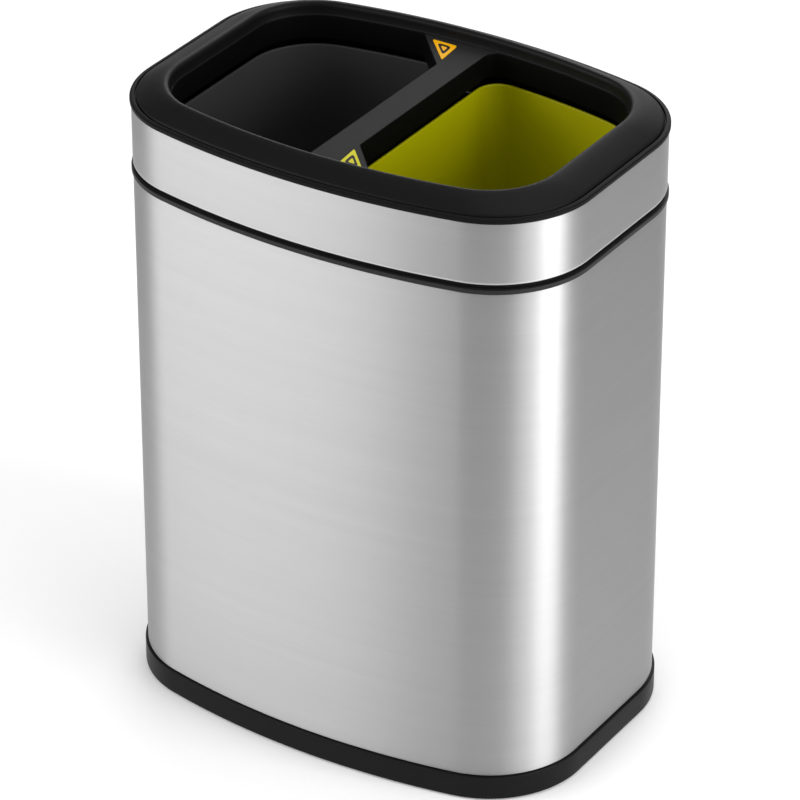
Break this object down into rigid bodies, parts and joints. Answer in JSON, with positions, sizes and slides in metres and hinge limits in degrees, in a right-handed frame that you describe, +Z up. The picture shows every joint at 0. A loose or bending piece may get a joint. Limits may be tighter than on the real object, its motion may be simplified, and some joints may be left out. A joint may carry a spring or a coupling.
{
  "type": "double recycling bin",
  "caption": "Upright two-compartment waste bin: brushed steel body with bowed faces, lift-off open lid with a divider, and two removable tapered liners.",
  "frame": {"origin": "on the ground, at the middle of the footprint", "axes": "+Z up, +X to the right, the front (one of the two long bowed faces) faces -Y"},
  "size_m": [0.3438, 0.249, 0.4535],
  "materials": {
    "brushed_stainless": "stainless steel, fine horizontal brushing",
    "galvanised_steel": "galvanised sheet, pressed",
    "black_pp": "black polypropylene, injection moulded, satin",
    "grained_pp": "black polypropylene, injection moulded, fine grain on the flat field",
    "liner_black": "black polypropylene, injection moulded, matte",
    "liner_olive": "olive-green polypropylene, injection moulded, satin",
    "foot_rubber": "soft rubber",
    "zinc_screw": "zinc-plated steel",
    "marker_orange": "printed vinyl film, orange-yellow",
    "marker_lime": "printed vinyl film, lime-yellow"
  },
  "bodies": {
    "body": {"body_shell": "brushed_stainless", "top_collar": "black_pp", "base_ring": "black_pp", "floor_panel": "galvanised_steel", "foot_front_left": "foot_rubber", "foot_front_right": "foot_rubber", "foot_rear_left": "foot_rubber", "foot_rear_right": "foot_rubber", "base_screw_front_left": "zinc_screw", "base_screw_front_right": "zinc_screw", "base_screw_rear_left": "zinc_screw", "base_screw_rear_right": "zinc_screw"},
    "lid": {"lid_frame": "grained_pp", "lid_band": "brushed_stainless", "lid_retainer": "black_pp", "lid_screw_front_left": "zinc_screw", "lid_screw_front_right": "zinc_screw", "lid_screw_rear_left": "zinc_screw", "lid_screw_rear_right": "zinc_screw", "lid_screw_left": "zinc_screw", "lid_screw_right": "zinc_screw", "marker_left": "marker_orange", "marker_right": "marker_lime"},
    "liner_left": {"liner_left": "liner_black"},
    "liner_right": {"liner_right": "liner_olive"}
  },
  "joints": [
    {"name": "lid_lift", "type": "slide", "parent": "body", "child": "lid", "axis": [0, 0, 1], "range_m": [0, 0.8]},
    {"name": "liner_left_lift", "type": "slide", "parent": "body", "child": "liner_left", "axis": [0, 0, 1], "range_m": [0, 0.4]},
    {"name": "liner_right_lift", "type": "slide", "parent": "body", "child": "liner_right", "axis": [0, 0, 1], "range_m": [0, 0.4]}
  ],
  "couplings": [
    {"joint": "liner_left_lift", "follows": "lid_lift", "ratio": 0.5},
    {"joint": "liner_right_lift", "follows": "lid_lift", "ratio": 0.5}
  ]
}
